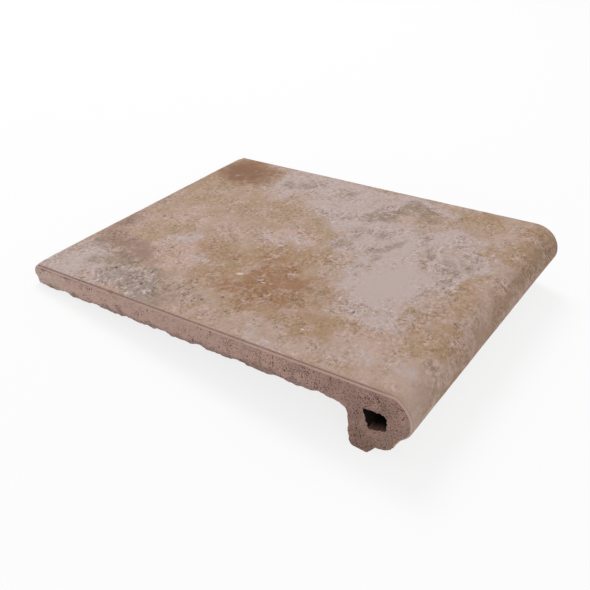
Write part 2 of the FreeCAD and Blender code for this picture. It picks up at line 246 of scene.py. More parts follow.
def outward(points):
    """The unit normal at each point of a clockwise closed outline."""
    way = np.roll(points, -1, axis=0) - np.roll(points, 1, axis=0)
    normal = np.stack([-way[:, 1], way[:, 0]], axis=1)
    return normal / np.linalg.norm(normal, axis=1, keepdims=True)


def keyed(points, names):
    """Sinks the keying grooves into the underside."""
    points = points.copy()
    for index, name in enumerate(names):
        if name != "hook_line":
            continue
        for number in range(GROOVE_COUNT):
            away = points[index][0] - GROOVE_START - number * GROOVE_PITCH
            rise = math.sqrt(max(GROOVE_RADIUS ** 2 - away ** 2, 0)) - GROOVE_RADIUS + GROOVE_DEPTH
            if rise > 0:
                points[index][1] += rise
                break
    return points


def wander(place, scale, seed=0.0):
    """Smooth noise between about -1 and 1, with features of this size in mm."""
    return noise.noise(Vector(place) / scale + Vector((seed, seed * 1.7, seed * 0.6)))


def layered(place, layers, seed=0):
    """The sum of layers of relief at a place, in mm."""
    return sum(height * wander(place, size, own + seed) for height, size, own in layers)


def relief(place, name):
    """How far the surface stands proud of its true form, in mm."""
    return layered(place, FACE_RELIEF if name in FACE_NAMES else RAW_RELIEF)


def rag(place, name):
    """How far the rim of a cut hangs out or is chipped back, in mm."""
    if name in FACE_NAMES:
        return layered(place, FACE_RAG)
    return BURR + layered(place, RAW_RAG)


def inset(x, y, name):
    """How far the skin is drawn in near a cut face, and how far its corners are worn, in mm."""
    from_cut = WIDTH / 2 - abs(x)
    wear = 0.0
    if name in REAR_NAMES:
        wear += CORNER_WEAR * math.exp(-from_cut / CORNER_WEAR_REACH)
    if name in LIFTED_NAMES:
        lift = CORNER_LIFT * max(0.0, 1 - y / CORNER_LIFT_LENGTH) ** 2
        wear += lift * math.exp(-from_cut / CORNER_LIFT_REACH)
    if name in FACE_NAMES:
        over = abs(x) - (WIDTH / 2 - SHOULDER_WIDTH)
        wear += RIM_INSET * (max(over, 0.0) / SHOULDER_WIDTH) ** 1.5
    return wear


def side_stations():
    """Where the rings of the skin lie along x, closer together over the two shoulders."""
    half = WIDTH / 2
    step = half - SHOULDER_WIDTH
    inner = np.linspace(-step, step, round(2 * step / FACE_SPACING) + 1)
    left = [-half + share * SHOULDER_WIDTH for share in SHOULDER_STATIONS] + [-step - STEP_BATTER]
    return np.array(left + list(inner) + [-x for x in reversed(left)])


def pressed(x, z):
    """The height that the step and the shoulder along a cut edge leave."""
    over = abs(x) - (WIDTH / 2 - SHOULDER_WIDTH)
    if over <= 0.5 * STEP_BATTER:
        return z
    return min(z, -EDGE_STEP - over * SHOULDER_FALL / SHOULDER_WIDTH)


class Mesh:
    """Vertices and faces in the tile's own frame, with a material number for each face.

    Each vertex also keeps where it would lie along y if the skin were rolled out flat.
    """

    def __init__(self):
        self.places, self.flat, self.faces, self.kinds = [], [], [], []

    def add(self, place, flat=0.0):
        self.places.append(tuple(place))
        self.flat.append(flat)
        return len(self.places) - 1

    def face(self, corners, kind):
        self.faces.append(tuple(corners))
        self.kinds.append(kind)


SKIN, CUT, CORE, RAW = range(4)


def wrap(mesh, points, names, stations):
    """The skin of the tile all round, from cut face to cut face; returns its two end loops."""
    normals = outward(points)
    half = WIDTH / 2
    steps = np.linalg.norm(np.diff(points, axis=0), axis=1)
    flat = np.concatenate([[0], np.cumsum(steps)])
    flat += REAR_RADIUS - flat[names.index("rear_top_line")]
    loops = []
    for x in stations:
        loop = []
        for (y, z), (ny, nz), name, rolled in zip(points, normals, names, flat):
            stand = relief((x, y, z), name) - inset(x, y, name)
            near_cut = math.exp(-(half - abs(x)) / RAG_REACH)
            if near_cut > FADED:
                stand += near_cut * rag((x, y, z), name)
            level = z + nz * stand
            loop.append(mesh.add((x, y + ny * stand, pressed(x, level)), rolled))
        loops.append(loop)
    count = len(points)
    for low, high in zip(loops, loops[1:]):
        for index in range(count):
            after = (index + 1) % count
            kind = SKIN if names[index] in FACE_NAMES else RAW
            mesh.face((low[index], low[after], high[after], high[index]), kind)
    return loops[0], loops[-1]


def inside(spots, loop):
    """Which of the spots lie inside a closed loop of points."""
    x, y = spots[:, 0], spots[:, 1]
    within = np.zeros(len(spots), bool)
    for (x0, y0), (x1, y1) in zip(loop, np.roll(loop, -1, axis=0)):
        if y0 == y1:
            continue
        crosses = (y0 > y) != (y1 > y)
        within ^= crosses & (x < (x1 - x0) * (y - y0) / (y1 - y0) + x0)
    return within


def clear_of(spots, loop, gap):
    """Which of the spots lie further than gap from every point of a loop."""
    nearest = np.full(len(spots), np.inf)
    for start in range(0, len(loop), 64):
        part = loop[start:start + 64]
        away = np.linalg.norm(spots[:, None, :] - part[None, :, :], axis=2).min(axis=1)
        nearest = np.minimum(nearest, away)
    return nearest > gap


def pores(draw, rim, hole):
    """Pits of the cut clay: (place, radius, depth), denser towards the nosing."""
    edges = np.vstack([rim, hole])
    found = []
    taken = np.empty((0, 3))
    for _ in range(PORE_TRIES):
        spot = np.array([draw.uniform(PORE_END_GAP, DEPTH - PORE_END_GAP),
                         draw.uniform(rim[:, 1].min(), PORE_HIGHEST)])
        radius = PORE_RADIUS + PORE_LARGER * draw.random() ** PORE_RARITY
        forward = max(0, (spot[0] - PORE_MORE_FROM) / (DEPTH - PORE_MORE_FROM))
        dense = PORE_SHARE + PORE_MORE * forward ** PORE_RISE
        patchy = PATCH_SHARE + PATCH_SWING * wander((0, spot[0], spot[1]), PATCH_SIZE, PATCH_SEED)
        if draw.random() > dense * patchy:
            continue
        if not inside(spot[None], rim)[0] or inside(spot[None], hole)[0]:
            continue
        if np.hypot(*(edges - spot).T).min() < radius + PORE_RIM_GAP:
            continue
        away = np.hypot(*(taken[:, :2] - spot).T)
        if (away < radius + taken[:, 2] + PORE_GAP).any():
            continue
        taken = np.vstack([taken, [*spot, radius]])
        found.append((spot, radius, radius * draw.uniform(*PORE_DEPTHS)))
    return found


def pit_spots(draw, found):
    """Points for each pore, its middle and two uneven rings, and how deep each point lies."""
    spots, depths = [], []
    for place, radius, depth in found:
        stretch, turn = draw.uniform(*PORE_STRETCH), draw.uniform(0, math.pi)
        way = np.array([math.cos(turn), math.sin(turn)])
        across = np.array([-math.sin(turn), math.cos(turn)])
        spots.append(place)
        depths.append(depth)
        steps = SMALL_PORE_POINTS if radius < SMALL_PORE else LARGE_PORE_POINTS
        for share, sunk in PORE_RINGS:
            for step in range(steps):
                angle = 2 * math.pi * (step + share) / steps
                reach = radius * share * draw.uniform(*PORE_UNEVEN)
                offset = way * math.cos(angle) * reach + across * math.sin(angle) * reach * stretch
                spots.append(place + offset)
                depths.append(depth * sunk)
    return np.array(spots), np.array(depths)


def sheet_spots(draw, rim, hole, found):
    """Points of an uneven grid over the cut face, clear of its rims and its pores."""
    jitter = CUT_SPACING * SHEET_JITTER
    grid = []
    for row, z in enumerate(np.arange(rim[:, 1].min(), 0, CUT_SPACING * SHEET_ROW)):
        shift = 0.5 * CUT_SPACING * (row % 2)
        for y in np.arange(0, DEPTH, CUT_SPACING):
            grid.append((y + shift + draw.uniform(-jitter, jitter), z + draw.uniform(-jitter, jitter)))
    grid = np.array(grid)
    grid = grid[inside(grid, rim) & ~inside(grid, hole)]
    grid = grid[clear_of(grid, np.vstack([rim, hole]), CUT_SPACING * SHEET_RIM_GAP)]
    for place, radius, _ in found:
        grid = grid[np.hypot(*(grid - place).T) > radius * OFF_PORE_SHARE + OFF_PORE]
    return grid


def cap(mesh, side, rim_ids, hole_ids, seed):
    """The cut face: a rough sheet of small triangles with pits, welded to the rims around it."""
    draw = random.Random(seed)
    rim = np.array([mesh.places[i][1:] for i in rim_ids])
    hole = np.array([mesh.places[i][1:] for i in hole_ids])
    found = pores(draw, rim, hole)
    pits, depths = pit_spots(draw, found)
    sheet = sheet_spots(draw, rim, hole, found)
    inner = np.vstack([pits, sheet])
    ids = list(rim_ids) + list(hole_ids)
    for (y, z), depth in zip(inner, np.concatenate([depths, np.zeros(len(sheet))])):
        rough = max(layered((0, y, z), CUT_RELIEF, seed), -CUT_MOST_PROUD)
        ids.append(mesh.add((side * (WIDTH / 2 - depth - rough - CUT_SETBACK), y, z)))
    flat = [Vector(p) for p in np.vstack([rim, hole, inner])]
    rim_edges = [(i, (i + 1) % len(rim)) for i in range(len(rim))]
    hole_edges = [(len(rim) + i, len(rim) + (i + 1) % len(hole)) for i in range(len(hole))]
    result = geometry.delaunay_2d_cdt(flat, rim_edges + hole_edges, [], 0, 1e-5, True)
    places, faces, origins = result[0], result[2], result[3]
    middles = np.array([np.mean([places[i] for i in face], axis=0) for face in faces])
    keep = inside(middles, rim) & ~inside(middles, hole)
    for face, kept in zip(faces, keep):
        if not kept:
            continue
        corners = [ids[origins[i][0]] for i in face]
        if len(set(corners)) == 3:
            mesh.face(corners if side > 0 else corners[::-1], CUT)


def core_hole(mesh, points):
    """The wall of the hole through the nosing; returns its two rims."""
    half = WIDTH / 2
    normals = outward(points)
    first = half - CORE_FIRST_STATION
    stations = [-half + x for x in CORE_END_STATIONS]
    stations += list(np.linspace(-first, first, CORE_STATIONS))
    stations += [half - x for x in reversed(CORE_END_STATIONS)]
    loops = []
    for x in stations:
        loop = []
        near_cut = math.exp(-(half - abs(x)) / TORN_REACH)
        for (y, z), (ny, nz) in zip(points, normals):
            stand = near_cut * layered((x, y, z), CORE_RAG)
            stand += layered((x * CORE_STRETCH, y, z), CORE_RELIEF)
            loop.append(mesh.add((x, y + ny * stand, z + nz * stand)))
        loops.append(loop)
    count = len(points)
    for low, high in zip(loops, loops[1:]):
        for index in range(count):
            after = (index + 1) % count
            mesh.face((low[after], low[index], high[index], high[after]), CORE)
    return loops[0], loops[-1]


def laid_down():
    """The turn and shift from the tile's own frame to where the node lies on the floor.

    The node's walking face, nearly level and square to x, gives the tilt.
    """
    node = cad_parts[NODE]
    mesh = node.data
    up = Vector()
    for polygon in mesh.polygons:
        if polygon.normal.z > 0.98 and abs(polygon.normal.x) < 0.01:
            up += polygon.normal * polygon.area
    tilt = math.atan2(-up.y, up.z)
    turn = Matrix.Rotation(tilt, 4, "X")
    low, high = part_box(NODE)
    corners = [turn @ Vector((0, y * MM, z * MM)) for y, z in tile_outline()[0]]
    middle = (max(c.y for c in corners) + min(c.y for c in corners)) / 2
    shift = Vector((0, (low[1] + high[1]) / 2 - middle, low[2] - min(c.z for c in corners)))
    return Matrix.Translation(shift) @ turn, tilt


TO_FLOOR, TILT = laid_down()


def build_tile(materials):
    """The one visible piece: the skin, the hole's wall and the two cut faces as one mesh."""
    points, names = tile_outline()
    points, names = spread_lines(points, names, {"rear_top_line": FACE_SPACING,
                                                 "hook_line": UNDERSIDE_SPACING})
    points = keyed(points, names)
    mesh = Mesh()
    low_rim, high_rim = wrap(mesh, points, names, side_stations())
    low_hole, high_hole = core_hole(mesh, core_outline()[0])
    cap(mesh, -1, low_rim, low_hole, PORE_SEED + 1)
    cap(mesh, 1, high_rim, high_hole, PORE_SEED)
    data = bpy.data.meshes.new("tile")
    laid = [TO_FLOOR @ (Vector(p) * MM) for p in mesh.places]
    data.from_pydata([(p.x, p.y, max(p.z, 0.0)) for p in laid], [], mesh.faces)
    data.polygons.foreach_set("material_index", mesh.kinds)
    data.polygons.foreach_set("use_smooth", [True] * len(mesh.faces))
    for material in materials:
        data.materials.append(material)
    flash(data, mesh)
    data.update()
    data.set_sharp_from_angle(angle=SHARP_ANGLE)
    piece = bpy.data.objects.new("tile_detail", data)
    bpy.context.scene.collection.objects.link(piece)
    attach(piece, "root")
    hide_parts(NODE)


# Matte clay: how strong and how rough its highlights are, and its fine relief in metres.
MATTE = 0.2
FACE_ROUGHNESS, CLAY_ROUGHNESS, CORE_ROUGHNESS = 0.78, 0.9, 0.95
BUMP_DEPTH, CORE_BUMP_DEPTH, BUMP_STRENGTH = 0.0005, 0.0004, 0.9
WHITE = (1.0, 1.0, 1.0, 1.0)


def srgb(red, green, blue):
    """A colour as a screen shows it, 0 to 255, in the shader's own terms."""
    def linear(value):
        value /= 255
        return value / 12.92 if value <= 0.04045 else ((value + 0.055) / 1.055) ** 2.4
    return (linear(red), linear(green), linear(blue), 1.0)


class Nodes:
    """Short ways to add shader nodes to a material or world; a socket may stand for any value."""

    def __init__(self, owner):
        owner.use_nodes = True
        self.owner = owner
        self.tree = owner.node_tree
        self.tree.nodes.clear()

    def add(self, kind, values=None, **settings):
        node = self.tree.nodes.new(kind)
        for key, value in settings.items():
            setattr(node, key, value)
        for key, value in (values or {}).items():
            if isinstance(value, bpy.types.NodeSocket):
                self.tree.links.new(value, node.inputs[key])
            else:
                node.inputs[key].default_value = value
        return node

    def tile_place(self):
        """The place on the tile in mm, in the tile's own frame."""
        source = self.add("ShaderNodeTexCoord").outputs["Object"]
        shift = TO_FLOOR.to_translation()
        laid = self.add("ShaderNodeMapping", {"Vector": source, "Location": shift,
                                              "Rotation": (TILT, 0, 0), "Scale": (MM, MM, MM)},
                        vector_type="TEXTURE")
        return laid.outputs[0]

    def apart(self, place):
        """The x, y and z of a place."""
        return self.add("ShaderNodeSeparateXYZ", {0: place}).outputs

    def strength(self, name):
        """A field that the mesh keeps under this name."""
        return self.add("ShaderNodeAttribute", attribute_name=name).outputs["Fac"]

    def math(self, operation, first, second=0.0, third=0.0):
        values = {0: first, 1: second, 2: third}
        return self.add("ShaderNodeMath", values, operation=operation).outputs[0]

    def times(self, first, second):
        return self.math("MULTIPLY", first, second)

    def rest(self, share):
        """What a share leaves of 1."""
        return self.math("SUBTRACT", 1.0, share)

    def vector(self, operation, first, second=(0, 0, 0)):
        node = self.add("ShaderNodeVectorMath", {0: first, 1: second}, operation=operation)
        return node.outputs["Value" if operation == "LENGTH" else "Vector"]

    def noise(self, place, size, detail, roughness, seed):
        """Noise with features of this size in mm, 0 to 1. Each seed gives a field of its own."""
        moved = self.add("ShaderNodeMapping", {"Vector": place,
                                               "Location": (seed * 37, seed * 11, seed * 5),
                                               "Scale": (1 / size, 1 / size, 1 / size)})
        return self.add("ShaderNodeTexNoise", {"Vector": moved.outputs[0], "Scale": 1.0,
                                               "Detail": detail, "Roughness": roughness}).outputs[0]

    def swing(self, value, middle=0.5):
        """A value taken about its middle."""
        return self.math("SUBTRACT", value, middle)

    def ramp(self, value, low, high, start=0.0, end=1.0, smooth=True):
        """Start below low, end past high, and a smooth or straight rise between them."""
        kind = "SMOOTHSTEP" if smooth else "LINEAR"
        node = self.add("ShaderNodeMapRange", {0: value, 1: low, 2: high, 3: start, 4: end},
                        interpolation_type=kind)
        return node.outputs[0]

    def mix(self, share, first, second):
        values = {0: share, 6: first, 7: second}
        node = self.add("ShaderNodeMix", values, data_type="RGBA", clamp_factor=True)
        return node.outputs[2]

    def paint(self, share, under, over):
        """One colour over another, by this share."""
        return self.mix(share, under, srgb(*over))

    def clay(self, colour, roughness, height, depth=BUMP_DEPTH, strength=BUMP_STRENGTH):
        """Ends the material as matte clay with a fine relief, and returns it."""
        relief_node = self.add("ShaderNodeBump", {"Height": height, "Distance": depth,
                                                  "Strength": strength})
        shader = self.add("ShaderNodeBsdfPrincipled", {"Base Color": colour, "Roughness": roughness,
                                                       "Normal": relief_node.outputs[0],
                                                       "Specular IOR Level": MATTE})
        self.add("ShaderNodeOutputMaterial", {"Surface": shader.outputs[0]})
        return self.owner


# Where a spot ends and over what part of its reach it fades, as shares of the reach. Its edge is
# bent by noise: the size of the bends and how far they shift it, both in mm.
SPOT_END, SPOT_FADE = 1.5, 1.2
FLASH_SEED, FLASH_BENDS = 40, ((34, 15), (9, 4))


def blots(along, across, spots):
    """The strongest of some soft spots at each place, 0 to 1 and over.

    A spot is its middle (y, x), its reach along y and x, its strength and its turn in degrees.
    """
    field = np.zeros(len(along))
    for middle_y, middle_x, reach_y, reach_x, strength, turn in spots:
        cos, sin = math.cos(math.radians(turn)), math.sin(math.radians(turn))
        y, x = along - middle_y, across - middle_x
        away = np.hypot((y * cos + x * sin) / reach_y, (x * cos - y * sin) / reach_x)
        soft = np.clip((SPOT_END - away) / SPOT_FADE, 0, 1)
        field = np.maximum(field, strength * soft * soft * (3 - 2 * soft))
    return field


def flash(data, mesh):
    """Writes each pigment's strength over the face into the mesh, bent about by broad noise."""
    places = np.array(mesh.places)
    along, across = np.array(mesh.flat), places[:, 0]
    shift = np.zeros((len(places), 2))
    for size, reach in FLASH_BENDS:
        for index, place in enumerate(mesh.places):
            shift[index, 0] += reach * wander(place, size, FLASH_SEED)
            shift[index, 1] += reach * wander(place, size, FLASH_SEED + 1)
    fields = {pigment.name: pigment.spots for pigment in PIGMENTS}
    fields["calm"] = CALM
    for name, spots in fields.items():
        field = blots(along + shift[:, 0], across + shift[:, 1], spots)
        data.attributes.new(name, "FLOAT", "POINT").data.foreach_set("value", field)


# The flashing of the walking face, as pigments one over the other: the colour, how far the edge
# wanders and how gritty it is, how soft it is, how far the pigment covers, and its spots.
Pigment = namedtuple("Pigment", "name colour wander grit soft cover spots")
PIGMENTS = [
    Pigment("rosy beige", (187, 159, 148), 3.0, -5.0, 0.5, 0.75, [
        (80, 58, 34, 20, 1.2, 0), (45, 10, 30, 18, 0.6, 0), (200, 112, 50, 14, 0.4, 0),
        (140, -5, 36, 16, 0.8, 0), (265, 105, 30, 20, 0.6, 0), (80, 0, 30, 20, 0.5, 0),
        (12, -90, 8, 30, 0.8, 0), (62, -118, 12, 10, 0.7, 0)]),
    Pigment("khaki", (162, 137, 110), 3.2, 5.5, 0.6, 0.7, [
        (28, -40, 34, 28, 0.85, 0), (48, 36, 20, 17, 1.3, 0), (98, -38, 40, 26, 0.8, 0),
        (70, -15, 30, 14, 0.5, 0), (118, 30, 26, 22, 0.6, 0), (250, -108, 40, 16, 0.7, 0),
        (60, -60, 40, 10, 0.6, 0), (28, 5, 14, 10, 0.5, 0), (180, 4, 14, 8, 0.7, 0),
        (152, -26, 18, 12, 1.1, 20)]),
    Pigment("lilac", (183, 165, 161), 2.6, -5.0, 0.4, 0.93, [
        (236, 20, 36, 42, 1.25, -20), (215, -35, 46, 40, 1.2, 0), (172, -52, 42, 22, 1.1, 25),
        (140, -92, 62, 34, 1.1, 10), (85, -98, 36, 34, 1.05, 0), (258, 62, 22, 16, 0.95, 0),
        (270, -18, 26, 34, 0.95, 0), (250, -66, 32, 26, 1.0, 0), (22, 108, 26, 24, 1.25, 0),
        (58, 112, 34, 14, 0.85, 0), (86, 108, 30, 15, 0.85, 8), (180, -112, 60, 14, 0.9, 0),
        (290, 104, 18, 16, 0.5, 0),
        (70, 36, 14, 12, 0.62, 0), (103, 52, 14, 9, 0.7, 0), (140, 0, 24, 12, 0.6, 0),
        (30, 88, 26, 8, 0.7, 35), (262, 108, 26, 10, 0.5, 0), (200, 116, 14, 6, 0.55, 0)]),
    Pigment("ochre", (160, 128, 99), 2.8, 5.0, 0.6, 0.88, [
        (160, 62, 50, 32, 1.1, 0), (152, 26, 34, 22, 1.0, 0), (112, 42, 34, 16, 0.8, 20),
        (218, 84, 38, 16, 0.95, 0), (178, 92, 26, 12, 0.8, 0), (290, 60, 24, 40, 0.66, 0),
        (282, -58, 14, 24, 0.85, 0), (292, 0, 12, 30, 0.75, 0),
        (130, 76, 24, 14, 0.8, 0), (256, -112, 20, 10, 0.7, 0), (302, -90, 12, 40, 0.75, 0)]),
    Pigment("rust", (144, 104, 76), 2.4, 6.0, 0.5, 0.8, [
        (172, 68, 34, 16, 0.95, 0), (160, 48, 20, 16, 0.85, 0), (146, 80, 14, 8, 0.6, 0),
        (158, 30, 22, 10, 0.55, 0), (116, 42, 14, 8, 0.5, 0), (168, 88, 10, 14, 0.55, 0)]),
    Pigment("mauve", (141, 115, 102), 2.6, 4.5, 0.75, 0.86, [
        (44, 70, 38, 18, 1.0, 14), (8, 30, 9, 34, 0.8, 0), (8, -30, 8, 34, 0.6, 0)]),
    Pigment("umber rim", (158, 129, 102), 2.4, 4.0, 0.6, 0.85, [
        (48, -84, 24, 24, 1.1, 0), (22, -94, 28, 40, 1.0, 0)]),
    Pigment("umber", (136, 102, 79), 1.8, 3.2, 0.6, 0.92, [
        (32, -96, 28, 32, 1.2, 0), (46, -82, 16, 18, 1.0, 0)]),
    Pigment("umber core", (126, 92, 71), 1.0, 0.3, 0.4, 0.7, [(30, -90, 18, 24, 1.0, 0)]),
    Pigment("nosing brown", (147, 118, 96), 2.2, 5.0, 0.5, 0.8, [
        (316, -85, 15, 50, 1.1, 0), (318, -10, 13, 50, 0.8, 0), (322, 60, 10, 60, 0.6, 0)]),
    Pigment("grey", (124, 109, 97), 2.5, 9.0, 0.8, 0.66, [
        (78, 111, 26, 10, 0.82, 10), (106, 108, 22, 16, 0.84, 0), (38, 101, 12, 7, 0.8, 40),
        (56, 94, 22, 10, 0.75, 35), (86, 94, 22, 10, 0.72, 30), (24, 82, 14, 7, 0.62, 35),
        (128, 100, 20, 12, 0.5, 20)]),
    Pigment("olive", (126, 108, 91), 2.4, 9.0, 0.75, 0.7, [
        (182, -78, 16, 13, 0.95, 0), (202, -98, 20, 16, 0.9, 0), (98, -95, 10, 12, 0.75, 30),
        (86, -92, 9, 9, 0.6, 0), (138, -94, 14, 12, 0.55, 0), (213, -32, 5, 22, 0.75, 8),
        (246, -28, 5, 24, 0.65, -12), (232, -62, 5, 18, 0.7, -16), (268, -22, 14, 24, 0.45, 0),
        (180, -14, 10, 16, 0.6, 0), (190, -40, 20, 10, 0.45, 0), (160, -66, 20, 8, 0.4, 0),
        (268, 16, 8, 22, 0.4, 0), (200, 60, 14, 7, 0.4, 0), (62, -86, 4, 24, 0.45, 0)]),
]
# Where the face is smoother than elsewhere, as spots.
CALM = [(30, -96, 27, 28, 0.95, 0), (306, 108, 26, 20, 0.7, 0), (318, 50, 15, 80, 0.45, 0),
        (236, 18, 26, 36, 1.0, -20), (222, -35, 10, 40, 0.8, -8),
        (270, 106, 24, 14, 0.7, 0), (195, 112, 40, 10, 0.6, 0), (245, -75, 16, 20, 0.6, 0),
        (30, 62, 16, 10, 0.4, 14), (190, -110, 40, 10, 0.5, 0)]
# Chips that show pale grog, each its middle (y, x), its reach along y and x, and its turn.
CHIPS = [(141.9, 59, 3.0, 1.4, 20), (163.6, 60.9, 1.8, 0.5, 10), (218.6, 95.6, 1.3, 0.8, 0)]
# Small dark burnt specks, likewise.
SPECKS = [(141.3, 100.1, 1.0, 1.6, 30), (151.5, 90.6, 0.9, 1.3, 0), (131.2, 108.7, 0.8, 1.1, 0),
          (235.8, 61.6, 0.9, 1.6, 20), (60, 98, 1.0, 1.5, 50), (92, 106, 1.2, 1.9, 20)]
# How far down chips and specks may show, in mm.
FLECK_DEPTH = 9

# Colours as a screen shows them, 0 to 255. A pair is the two ends of a drift.
FACE_BASE = ((168, 143, 127), (178, 153, 140))
FACE_BROWN, FACE_PALE = (162, 137, 110), (186, 160, 149)
FACE_GREEN, FACE_ROSE = (160, 136, 107), (193, 164, 155)
FACE_PIT, FACE_CHIP, FACE_SPECK = (116, 91, 76), (214, 198, 182), (84, 62, 54)
# The shoulder's colour, and the painted shade for the crease at the foot of the step.
SHOULDER_COLOUR, STEP_CREASE_SHADE = (182, 152, 141), (104, 74, 66)
RAW_BASE, RAW_GRAIN, RAW_PIT = ((144, 116, 104), (166, 138, 124)), (112, 88, 80), (84, 62, 55)
CUT_BASE = ((196, 166, 155), (171, 139, 127))
CUT_REAR, CUT_NOSE, CUT_FOOT = (204, 184, 172), (143, 115, 105), (134, 104, 92)
CUT_ROSY, CUT_BROWN = (178, 144, 134), (138, 116, 104)
CUT_GREY, CUT_LOW = (156, 136, 124), (120, 98, 94)
# The last two colours are painted shade, under the shoulder near the rear end and in the cut face's
# hollows.
CUT_PIT, CUT_RIM_SHADE, CUT_HOLLOW_SHADE = (92, 58, 51), (100, 74, 64), (92, 56, 49)
# The hole's clay, darkened with painted shade, and the near-black painted shade deep within the hole.
CORE_BASE, CORE_SHADE = ((106, 80, 67), (128, 100, 86)), (20, 12, 8)
# How the grain is drawn out along x, as a scale.
DRAWN = (0.2, 1, 1)


def flecks(nodes, place, spots):
    """Where these small spots are, 1 in them and 0 elsewhere, with ragged edges."""
    field = 0.0
    for along, across, reach_y, reach_x, turn in spots:
        local = nodes.add("ShaderNodeMapping", {"Vector": place, "Location": (across, along, 0),
                                                "Rotation": (0, 0, math.radians(turn)),
                                                "Scale": (reach_x, reach_y, FLECK_DEPTH)},
                          vector_type="TEXTURE").outputs[0]
        away = nodes.math("MULTIPLY_ADD", nodes.noise(place, 1.5, 2, 0.6, 71), 1.2,
                          nodes.vector("LENGTH", local))
        field = nodes.math("MAXIMUM", field, nodes.ramp(away, 1.7, 1.5))
    return field


def drift(nodes, share, ends):
    """A colour that goes from the first of a pair to the second."""
    return nodes.mix(share, srgb(*ends[0]), srgb(*ends[1]))


def flashed(nodes, place, worn, colour):
    """The pigments of the face, one over the other, their edges broken and gritty."""
    grit = nodes.times(nodes.swing(nodes.noise(place, 7.0, 5, 0.85, 60)), worn)
    for number, pigment in enumerate(PIGMENTS):
        field = nodes.strength(pigment.name)
        broken = nodes.swing(nodes.noise(place, 14, 8, 0.7, 50 + number))
        edge = nodes.math("MULTIPLY_ADD", broken, pigment.wander, field)
        edge = nodes.math("MULTIPLY_ADD", grit, pigment.grit, edge)
        share = nodes.ramp(edge, 0.5 - pigment.soft, 0.5 + pigment.soft, 0.0, pigment.cover)
        share = nodes.times(share, nodes.ramp(field, 0.1, 0.55))
        colour = nodes.paint(share, colour, pigment.colour)
    return colour


def mottled(nodes, place, worn, calmed, colour):
    """Brown and pale mottles, few where the face is lilac, mauve or grey; greenish and rosy ones."""
    dirty = nodes.strength("grey")
    plain = nodes.math("MAXIMUM", nodes.strength("lilac"), nodes.strength("mauve"))
    plain = nodes.math("MAXIMUM", plain, dirty)
    plain = nodes.times(nodes.rest(nodes.ramp(plain, 0.3, 0.8, 0.0, 0.85)), calmed)
    dapple = nodes.noise(place, 17, 4, 0.6, 72)
    tint = nodes.noise(place, 9, 6, 0.66, 65)
    brown = nodes.times(nodes.ramp(dapple, 0.51, 0.63, 0.0, 0.45), plain)
    pale = nodes.times(nodes.ramp(dapple, 0.47, 0.36, 0.0, 0.45), plain)
    green = nodes.times(nodes.ramp(tint, 0.52, 0.66, 0.0, 0.55), worn)
    rosy = nodes.times(nodes.ramp(tint, 0.47, 0.34, 0.0, 0.6), worn)
    rosy = nodes.times(rosy, nodes.ramp(dirty, 0.2, 0.7, 1.0, 0.3))
    colour = nodes.paint(brown, colour, FACE_BROWN)
    colour = nodes.paint(pale, colour, FACE_PALE)
    colour = nodes.paint(green, colour, FACE_GREEN)
    return nodes.paint(rosy, colour, FACE_ROSE)


def skin_material():
    """The flashed, mottled face of the tile."""
    nodes = Nodes(bpy.data.materials.new("flashed_face"))
    place = nodes.tile_place()
    # Calmed is low in the smooth areas, and worn is how strong the grain is at each place.
    ragged = nodes.swing(nodes.noise(place, 16, 6, 0.65, 67))
    calm = nodes.math("MULTIPLY_ADD", ragged, 2.2, nodes.strength("calm"))
    calmed = nodes.rest(nodes.ramp(calm, 0.2, 1.05, 0.0, 0.93))
    worn = nodes.times(nodes.ramp(nodes.noise(place, 22, 4, 0.6, 63), 0.38, 0.6, 0.4, 1.2), calmed)
    colour = drift(nodes, nodes.ramp(nodes.noise(place, 30, 4, 0.6, 4), 0.35, 0.65), FACE_BASE)
    colour = flashed(nodes, place, worn, colour)
    colour = mottled(nodes, place, worn, calmed, colour)

    # Crumbs of three sizes lighten and darken the colour, more so in the dirty grey areas.
    crumbs, fine = nodes.noise(place, 2.6, 3, 0.62, 62), nodes.noise(place, 1.0, 2, 0.6, 61)
    clots = nodes.noise(place, 5.5, 3, 0.6, 68)
    grain = nodes.times(nodes.swing(crumbs, 0.49), 1.5)
    grain = nodes.math("MULTIPLY_ADD", nodes.swing(fine, 0.49), 0.85, grain)
    grain = nodes.math("MULTIPLY_ADD", nodes.swing(clots, 0.49), 0.6, grain)
    grain = nodes.times(grain, nodes.math("MULTIPLY_ADD", nodes.strength("grey"), 0.5, 1.0))
    colour = nodes.vector("MULTIPLY", colour, nodes.math("MULTIPLY_ADD", grain, worn, 1.0))
    # Dark pits come in clumps.
    clumps = nodes.ramp(nodes.noise(place, 13, 5, 0.65, 66), 0.45, 0.66, 0.0, 0.09)
    pitted = nodes.math("SUBTRACT", nodes.noise(place, 2.4, 3, 0.66, 64), clumps)
    pits = nodes.times(nodes.ramp(pitted, 0.36, 0.27), worn)
    colour = nodes.paint(nodes.times(pits, 0.6), colour, FACE_PIT)
    colour = nodes.paint(nodes.times(flecks(nodes, place, CHIPS), 0.8), colour, FACE_CHIP)
    colour = nodes.paint(nodes.times(flecks(nodes, place, SPECKS), 0.7), colour, FACE_SPECK)
    # Painted shade in the crease at the foot of the step, and the paler shoulder.
    colour = step_line(nodes, place, colour)

    height = nodes.math("MULTIPLY_ADD", crumbs, 2.0, fine)
    height = nodes.math("MULTIPLY_ADD", pits, -0.8, height)
    return nodes.clay(colour, FACE_ROUGHNESS, height, strength=nodes.times(worn, BUMP_STRENGTH))


